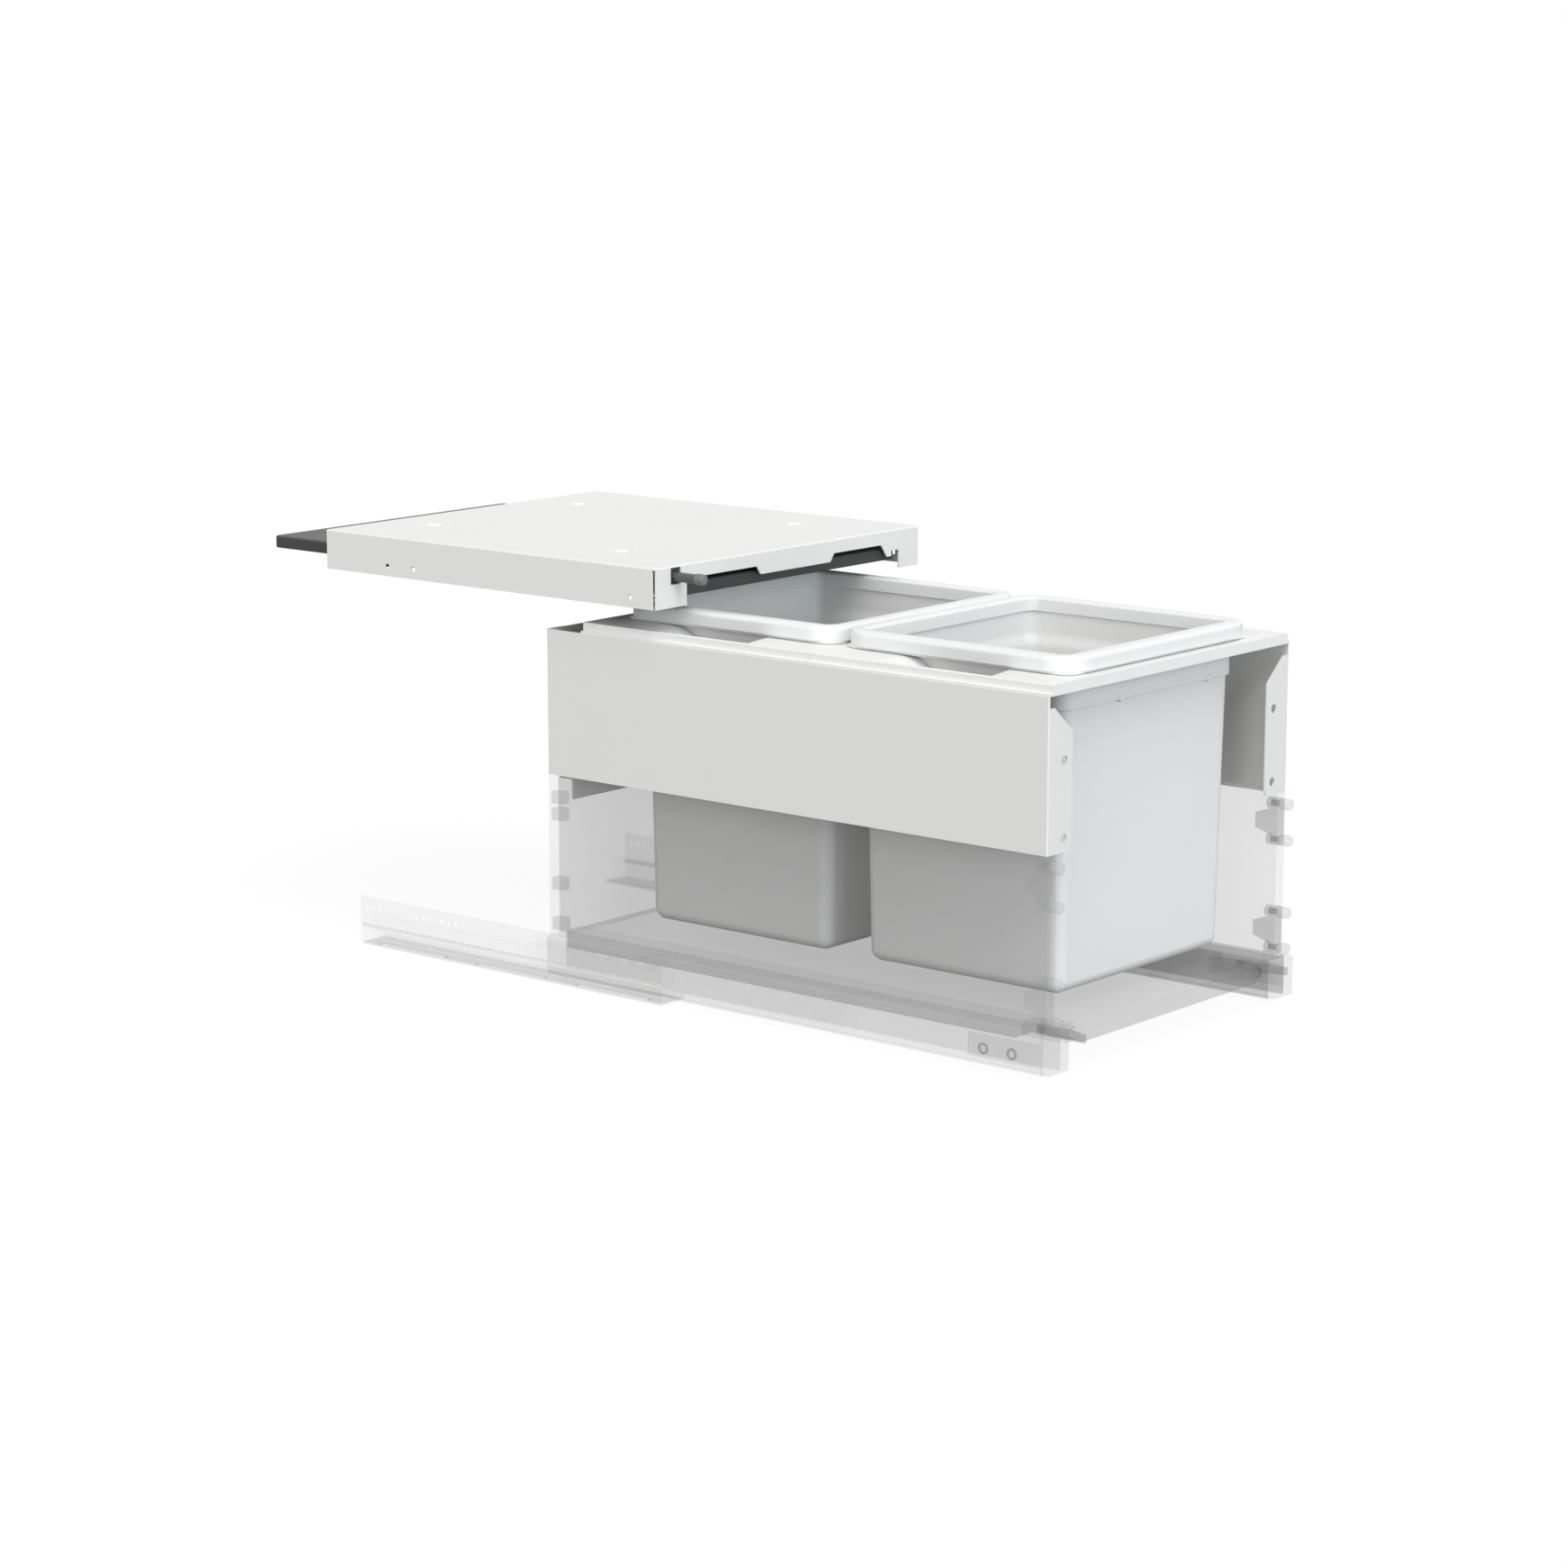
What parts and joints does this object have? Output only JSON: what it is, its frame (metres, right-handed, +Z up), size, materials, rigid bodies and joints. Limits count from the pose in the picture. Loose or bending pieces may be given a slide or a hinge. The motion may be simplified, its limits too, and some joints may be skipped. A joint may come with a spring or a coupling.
{
  "type": "pull out trash cabinet",
  "caption": "Pull-out waste drawer on runners, with lift-out bins in a white frame between raised side panels, under a fixed housing whose lid drops as the drawer shuts.",
  "frame": {"origin": "middle of the bounding box, on the plane of the runners' underside", "axes": "+X to the right as seen from the front, +Y to the rear of the cabinet, +Z up; the drawer opens towards -Y and is modelled open"},
  "size_m": [0.368, 0.932, 0.383],
  "materials": {
    "housing_steel": "white powder coat, satin",
    "panel_steel": "white powder coat, satin",
    "frame_plastic": "white moulded plastic, fine grain",
    "bin_plastic": "white moulded plastic, fine grain",
    "ring_plastic": "white moulded plastic, smooth",
    "lid_plastic": "dark grey, satin",
    "seal_foam": "dark grey, matte",
    "rod_plastic": "dark grey, satin",
    "buffer_rubber": "mid grey, matte",
    "guide_plastic": "dark moulded plastic",
    "bar_steel": "zinc plated",
    "pin_steel": "zinc plated",
    "clear_side": null,
    "clear_board": null,
    "clear_rail": null,
    "clear_fitting": null,
    "clear_dowel": null,
    "lever_plastic": "grey, shown see-through"
  },
  "bodies": {
    "cabinet": {"lid_housing": "housing_steel", "housing_screws": "pin_steel", "rod_bush": "guide_plastic", "left_cabinet_rail": "clear_rail", "right_cabinet_rail": "clear_rail", "left_front_lid_guide": "guide_plastic", "right_front_lid_guide": "guide_plastic", "left_rear_lid_guide": "guide_plastic", "right_rear_lid_guide": "guide_plastic"},
    "slider": {"push_rod": "rod_plastic", "rod_buffer": "buffer_rubber", "cross_rod": "pin_steel", "left_slide_bar": "bar_steel", "right_slide_bar": "bar_steel"},
    "lid": {"lid_panel": "lid_plastic", "lid_seal": "seal_foam", "lid_pins": "pin_steel"},
    "drawer": {"drawer_base": "clear_board", "drawer_back": "clear_board", "rear_panel": "panel_steel", "rear_panel_screws": "pin_steel", "front_top_frame": "frame_plastic", "rear_top_frame": "frame_plastic", "left_drawer_rail": "clear_rail", "right_drawer_rail": "clear_rail", "left_front_clip": "clear_fitting", "right_front_clip": "clear_fitting", "left_drawer_side": "clear_side", "right_drawer_side": "clear_side", "left_upper_bracket": "clear_fitting", "right_upper_bracket": "clear_fitting", "left_lower_bracket": "clear_fitting", "right_lower_bracket": "clear_fitting", "left_front_dowels": "clear_dowel", "right_front_dowels": "clear_dowel", "left_back_connectors": "clear_fitting", "right_back_connectors": "clear_fitting", "left_side_panel": "panel_steel", "right_side_panel": "panel_steel"},
    "front_bin": {"front_bin": "bin_plastic"},
    "front_ring": {"front_bag_ring": "ring_plastic"},
    "rear_bin": {"rear_bin": "bin_plastic", "rear_bag_ring": "ring_plastic"},
    "left_middle": {"left_middle_rail": "clear_rail"},
    "left_lower_cage": {"left_lower_roller_cage": "clear_fitting"},
    "left_upper_cage": {"left_upper_roller_cage": "clear_fitting"},
    "left_lever": {"left_release_lever": "lever_plastic"},
    "right_middle": {"right_middle_rail": "clear_rail"},
    "right_lower_cage": {"right_lower_roller_cage": "clear_fitting"},
    "right_upper_cage": {"right_upper_roller_cage": "clear_fitting"},
    "right_lever": {"right_release_lever": "lever_plastic"}
  },
  "joints": [
    {"name": "drawer_slide", "type": "slide", "parent": "cabinet", "child": "drawer", "axis": [0, -1, 0], "range_m": [-0.4, 0]},
    {"name": "rod_slide", "type": "slide", "parent": "cabinet", "child": "slider", "axis": [0, -1, 0], "range_m": [-0.024, 0], "stiffness_N_per_m": 300, "springref_m": 0.04},
    {"name": "lid_drop", "type": "slide", "parent": "cabinet", "child": "lid", "axis": [0, 0, 1], "range_m": [-0.012, 0]},
    {"name": "front_bin_lift", "type": "slide", "parent": "drawer", "child": "front_bin", "axis": [0, 0, 1], "range_m": [0, 0.3]},
    {"name": "front_ring_lift", "type": "slide", "parent": "front_bin", "child": "front_ring", "axis": [0, 0, 1], "range_m": [0, 0.05]},
    {"name": "rear_bin_lift", "type": "slide", "parent": "drawer", "child": "rear_bin", "axis": [0, 0, 1], "range_m": [0, 0.01]},
    {"name": "left_lower_cage_slide", "type": "slide", "parent": "cabinet", "child": "left_lower_cage", "axis": [0, -1, 0], "range_m": [-0.1, 0]},
    {"name": "left_middle_slide", "type": "slide", "parent": "cabinet", "child": "left_middle", "axis": [0, -1, 0], "range_m": [-0.2, 0]},
    {"name": "left_upper_cage_slide", "type": "slide", "parent": "cabinet", "child": "left_upper_cage", "axis": [0, -1, 0], "range_m": [-0.3, 0]},
    {"name": "left_lever_turn", "type": "hinge", "parent": "drawer", "child": "left_lever", "pos_m": [-0.146, -0.42, 0.0348], "axis": [0, 0, 1], "range_deg": [0, 12], "stiffness_Nm_per_rad": 0.05, "springref_deg": -2.86},
    {"name": "right_lower_cage_slide", "type": "slide", "parent": "cabinet", "child": "right_lower_cage", "axis": [0, -1, 0], "range_m": [-0.1, 0]},
    {"name": "right_middle_slide", "type": "slide", "parent": "cabinet", "child": "right_middle", "axis": [0, -1, 0], "range_m": [-0.2, 0]},
    {"name": "right_upper_cage_slide", "type": "slide", "parent": "cabinet", "child": "right_upper_cage", "axis": [0, -1, 0], "range_m": [-0.3, 0]},
    {"name": "right_lever_turn", "type": "hinge", "parent": "drawer", "child": "right_lever", "pos_m": [0.146, -0.42, 0.0348], "axis": [0, 0, -1], "range_deg": [0, 12], "stiffness_Nm_per_rad": 0.05, "springref_deg": -2.86}
  ],
  "couplings": [
    {"joint": "lid_drop", "follows": "rod_slide", "ratio": 0.5},
    {"joint": "left_lower_cage_slide", "follows": "drawer_slide", "ratio": 0.25},
    {"joint": "left_middle_slide", "follows": "drawer_slide", "ratio": 0.5},
    {"joint": "left_upper_cage_slide", "follows": "drawer_slide", "ratio": 0.75},
    {"joint": "right_lower_cage_slide", "follows": "drawer_slide", "ratio": 0.25},
    {"joint": "right_middle_slide", "follows": "drawer_slide", "ratio": 0.5},
    {"joint": "right_upper_cage_slide", "follows": "drawer_slide", "ratio": 0.75}
  ]
}
